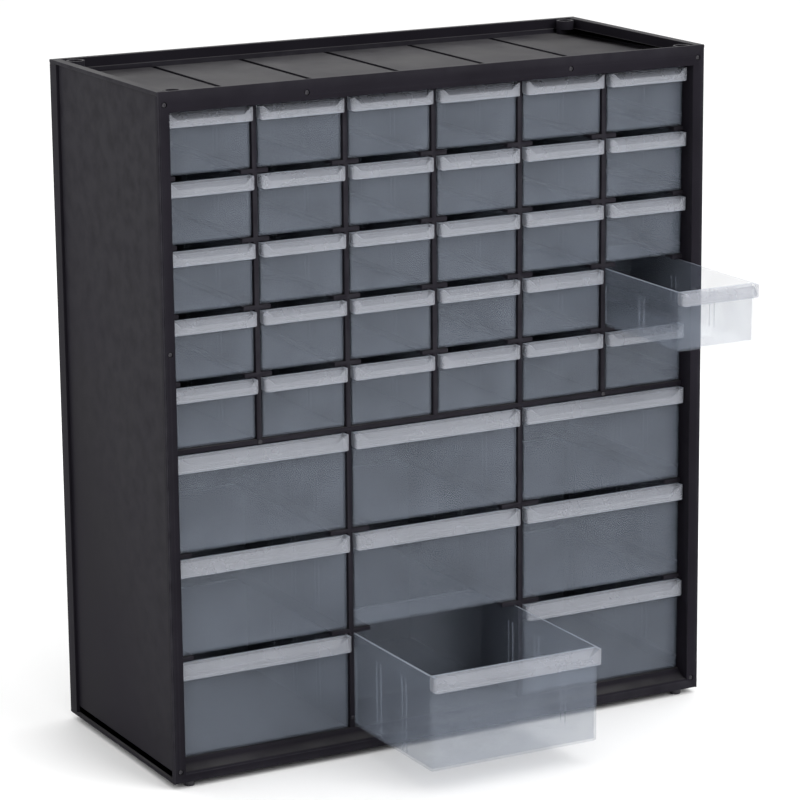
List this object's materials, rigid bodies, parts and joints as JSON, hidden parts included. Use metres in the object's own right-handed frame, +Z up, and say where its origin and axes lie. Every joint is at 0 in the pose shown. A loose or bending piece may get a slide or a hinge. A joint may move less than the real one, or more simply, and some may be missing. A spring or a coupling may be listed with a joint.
{
  "type": "drawer cabinet",
  "caption": "Free-standing black plastic cabinet with small translucent pull-out drawers above larger ones, one of each standing open.",
  "frame": {"origin": "on the floor, in the middle of the rectangle of the four feet", "axes": "+X to the right seen from the front, -Y out of the front, where the drawers pull out, +Z up"},
  "size_m": [0.381, 0.2545, 0.432],
  "materials": {
    "cabinet_black": "satin black moulded plastic",
    "pin_black": "smooth black moulded plastic",
    "screw_steel": "zinc-plated steel",
    "drawer_clear": "translucent milky plastic"
  },
  "bodies": {
    "cabinet": {"front_frame": "cabinet_black", "side_panel_left": "cabinet_black", "side_panel_right": "cabinet_black", "outer_runners_left": "cabinet_black", "outer_runners_right": "cabinet_black", "top_panel": "cabinet_black", "corner_sockets": "cabinet_black", "back_panel": "cabinet_black", "bottom_panel": "cabinet_black", "mid_shelf": "cabinet_black", "front_pins": "pin_black", "back_screws": "screw_steel", "feet": "pin_black", "upper_partition_1": "cabinet_black", "upper_partition_2": "cabinet_black", "upper_partition_3": "cabinet_black", "upper_partition_4": "cabinet_black", "upper_partition_5": "cabinet_black", "lower_partition_1": "cabinet_black", "lower_partition_2": "cabinet_black"},
    "small_r1_c1": {"small_drawer_r1_c1": "drawer_clear"},
    "small_r1_c2": {"small_drawer_r1_c2": "drawer_clear"},
    "small_r1_c3": {"small_drawer_r1_c3": "drawer_clear"},
    "small_r1_c4": {"small_drawer_r1_c4": "drawer_clear"},
    "small_r1_c5": {"small_drawer_r1_c5": "drawer_clear"},
    "small_r1_c6": {"small_drawer_r1_c6": "drawer_clear"},
    "small_r2_c1": {"small_drawer_r2_c1": "drawer_clear"},
    "small_r2_c2": {"small_drawer_r2_c2": "drawer_clear"},
    "small_r2_c3": {"small_drawer_r2_c3": "drawer_clear"},
    "small_r2_c4": {"small_drawer_r2_c4": "drawer_clear"},
    "small_r2_c5": {"small_drawer_r2_c5": "drawer_clear"},
    "small_r2_c6": {"small_drawer_r2_c6": "drawer_clear"},
    "small_r3_c1": {"small_drawer_r3_c1": "drawer_clear"},
    "small_r3_c2": {"small_drawer_r3_c2": "drawer_clear"},
    "small_r3_c3": {"small_drawer_r3_c3": "drawer_clear"},
    "small_r3_c4": {"small_drawer_r3_c4": "drawer_clear"},
    "small_r3_c5": {"small_drawer_r3_c5": "drawer_clear"},
    "small_r3_c6": {"small_drawer_r3_c6": "drawer_clear"},
    "small_r4_c1": {"small_drawer_r4_c1": "drawer_clear"},
    "small_r4_c2": {"small_drawer_r4_c2": "drawer_clear"},
    "small_r4_c3": {"small_drawer_r4_c3": "drawer_clear"},
    "small_r4_c4": {"small_drawer_r4_c4": "drawer_clear"},
    "small_r4_c5": {"small_drawer_r4_c5": "drawer_clear"},
    "small_r4_c6": {"small_drawer_r4_c6": "drawer_clear"},
    "small_r5_c1": {"small_drawer_r5_c1": "drawer_clear"},
    "small_r5_c2": {"small_drawer_r5_c2": "drawer_clear"},
    "small_r5_c3": {"small_drawer_r5_c3": "drawer_clear"},
    "small_r5_c4": {"small_drawer_r5_c4": "drawer_clear"},
    "small_r5_c5": {"small_drawer_r5_c5": "drawer_clear"},
    "small_r5_c6": {"small_drawer_r5_c6": "drawer_clear"},
    "large_r1_c1": {"large_drawer_r1_c1": "drawer_clear"},
    "large_r1_c2": {"large_drawer_r1_c2": "drawer_clear"},
    "large_r1_c3": {"large_drawer_r1_c3": "drawer_clear"},
    "large_r2_c1": {"large_drawer_r2_c1": "drawer_clear"},
    "large_r2_c2": {"large_drawer_r2_c2": "drawer_clear"},
    "large_r2_c3": {"large_drawer_r2_c3": "drawer_clear"},
    "large_r3_c1": {"large_drawer_r3_c1": "drawer_clear"},
    "large_r3_c2": {"large_drawer_r3_c2": "drawer_clear"},
    "large_r3_c3": {"large_drawer_r3_c3": "drawer_clear"}
  },
  "joints": [
    {"name": "small_r1_c1_slide", "type": "slide", "parent": "cabinet", "child": "small_r1_c1", "axis": [0, -1, 0], "range_m": [0, 0.117]},
    {"name": "small_r1_c2_slide", "type": "slide", "parent": "cabinet", "child": "small_r1_c2", "axis": [0, -1, 0], "range_m": [0, 0.117]},
    {"name": "small_r1_c3_slide", "type": "slide", "parent": "cabinet", "child": "small_r1_c3", "axis": [0, -1, 0], "range_m": [0, 0.117]},
    {"name": "small_r1_c4_slide", "type": "slide", "parent": "cabinet", "child": "small_r1_c4", "axis": [0, -1, 0], "range_m": [0, 0.117]},
    {"name": "small_r1_c5_slide", "type": "slide", "parent": "cabinet", "child": "small_r1_c5", "axis": [0, -1, 0], "range_m": [0, 0.117]},
    {"name": "small_r1_c6_slide", "type": "slide", "parent": "cabinet", "child": "small_r1_c6", "axis": [0, -1, 0], "range_m": [0, 0.117]},
    {"name": "small_r2_c1_slide", "type": "slide", "parent": "cabinet", "child": "small_r2_c1", "axis": [0, -1, 0], "range_m": [0, 0.117]},
    {"name": "small_r2_c2_slide", "type": "slide", "parent": "cabinet", "child": "small_r2_c2", "axis": [0, -1, 0], "range_m": [0, 0.117]},
    {"name": "small_r2_c3_slide", "type": "slide", "parent": "cabinet", "child": "small_r2_c3", "axis": [0, -1, 0], "range_m": [0, 0.117]},
    {"name": "small_r2_c4_slide", "type": "slide", "parent": "cabinet", "child": "small_r2_c4", "axis": [0, -1, 0], "range_m": [0, 0.117]},
    {"name": "small_r2_c5_slide", "type": "slide", "parent": "cabinet", "child": "small_r2_c5", "axis": [0, -1, 0], "range_m": [0, 0.117]},
    {"name": "small_r2_c6_slide", "type": "slide", "parent": "cabinet", "child": "small_r2_c6", "axis": [0, -1, 0], "range_m": [0, 0.117]},
    {"name": "small_r3_c1_slide", "type": "slide", "parent": "cabinet", "child": "small_r3_c1", "axis": [0, -1, 0], "range_m": [0, 0.117]},
    {"name": "small_r3_c2_slide", "type": "slide", "parent": "cabinet", "child": "small_r3_c2", "axis": [0, -1, 0], "range_m": [0, 0.117]},
    {"name": "small_r3_c3_slide", "type": "slide", "parent": "cabinet", "child": "small_r3_c3", "axis": [0, -1, 0], "range_m": [0, 0.117]},
    {"name": "small_r3_c4_slide", "type": "slide", "parent": "cabinet", "child": "small_r3_c4", "axis": [0, -1, 0], "range_m": [0, 0.117]},
    {"name": "small_r3_c5_slide", "type": "slide", "parent": "cabinet", "child": "small_r3_c5", "axis": [0, -1, 0], "range_m": [0, 0.117]},
    {"name": "small_r3_c6_slide", "type": "slide", "parent": "cabinet", "child": "small_r3_c6", "axis": [0, -1, 0], "range_m": [0, 0.117]},
    {"name": "small_r4_c1_slide", "type": "slide", "parent": "cabinet", "child": "small_r4_c1", "axis": [0, -1, 0], "range_m": [0, 0.117]},
    {"name": "small_r4_c2_slide", "type": "slide", "parent": "cabinet", "child": "small_r4_c2", "axis": [0, -1, 0], "range_m": [0, 0.117]},
    {"name": "small_r4_c3_slide", "type": "slide", "parent": "cabinet", "child": "small_r4_c3", "axis": [0, -1, 0], "range_m": [0, 0.117]},
    {"name": "small_r4_c4_slide", "type": "slide", "parent": "cabinet", "child": "small_r4_c4", "axis": [0, -1, 0], "range_m": [0, 0.117]},
    {"name": "small_r4_c5_slide", "type": "slide", "parent": "cabinet", "child": "small_r4_c5", "axis": [0, -1, 0], "range_m": [0, 0.117]},
    {"name": "small_r4_c6_slide", "type": "slide", "parent": "cabinet", "child": "small_r4_c6", "axis": [0, -1, 0], "range_m": [-0.085, 0.032]},
    {"name": "small_r5_c1_slide", "type": "slide", "parent": "cabinet", "child": "small_r5_c1", "axis": [0, -1, 0], "range_m": [0, 0.117]},
    {"name": "small_r5_c2_slide", "type": "slide", "parent": "cabinet", "child": "small_r5_c2", "axis": [0, -1, 0], "range_m": [0, 0.117]},
    {"name": "small_r5_c3_slide", "type": "slide", "parent": "cabinet", "child": "small_r5_c3", "axis": [0, -1, 0], "range_m": [0, 0.117]},
    {"name": "small_r5_c4_slide", "type": "slide", "parent": "cabinet", "child": "small_r5_c4", "axis": [0, -1, 0], "range_m": [0, 0.117]},
    {"name": "small_r5_c5_slide", "type": "slide", "parent": "cabinet", "child": "small_r5_c5", "axis": [0, -1, 0], "range_m": [0, 0.117]},
    {"name": "small_r5_c6_slide", "type": "slide", "parent": "cabinet", "child": "small_r5_c6", "axis": [0, -1, 0], "range_m": [0, 0.117]},
    {"name": "large_r1_c1_slide", "type": "slide", "parent": "cabinet", "child": "large_r1_c1", "axis": [0, -1, 0], "range_m": [0, 0.117]},
    {"name": "large_r1_c2_slide", "type": "slide", "parent": "cabinet", "child": "large_r1_c2", "axis": [0, -1, 0], "range_m": [0, 0.117]},
    {"name": "large_r1_c3_slide", "type": "slide", "parent": "cabinet", "child": "large_r1_c3", "axis": [0, -1, 0], "range_m": [0, 0.117]},
    {"name": "large_r2_c1_slide", "type": "slide", "parent": "cabinet", "child": "large_r2_c1", "axis": [0, -1, 0], "range_m": [0, 0.117]},
    {"name": "large_r2_c2_slide", "type": "slide", "parent": "cabinet", "child": "large_r2_c2", "axis": [0, -1, 0], "range_m": [0, 0.117]},
    {"name": "large_r2_c3_slide", "type": "slide", "parent": "cabinet", "child": "large_r2_c3", "axis": [0, -1, 0], "range_m": [0, 0.117]},
    {"name": "large_r3_c1_slide", "type": "slide", "parent": "cabinet", "child": "large_r3_c1", "axis": [0, -1, 0], "range_m": [0, 0.117]},
    {"name": "large_r3_c2_slide", "type": "slide", "parent": "cabinet", "child": "large_r3_c2", "axis": [0, -1, 0], "range_m": [-0.099, 0.018]},
    {"name": "large_r3_c3_slide", "type": "slide", "parent": "cabinet", "child": "large_r3_c3", "axis": [0, -1, 0], "range_m": [0, 0.117]}
  ]
}
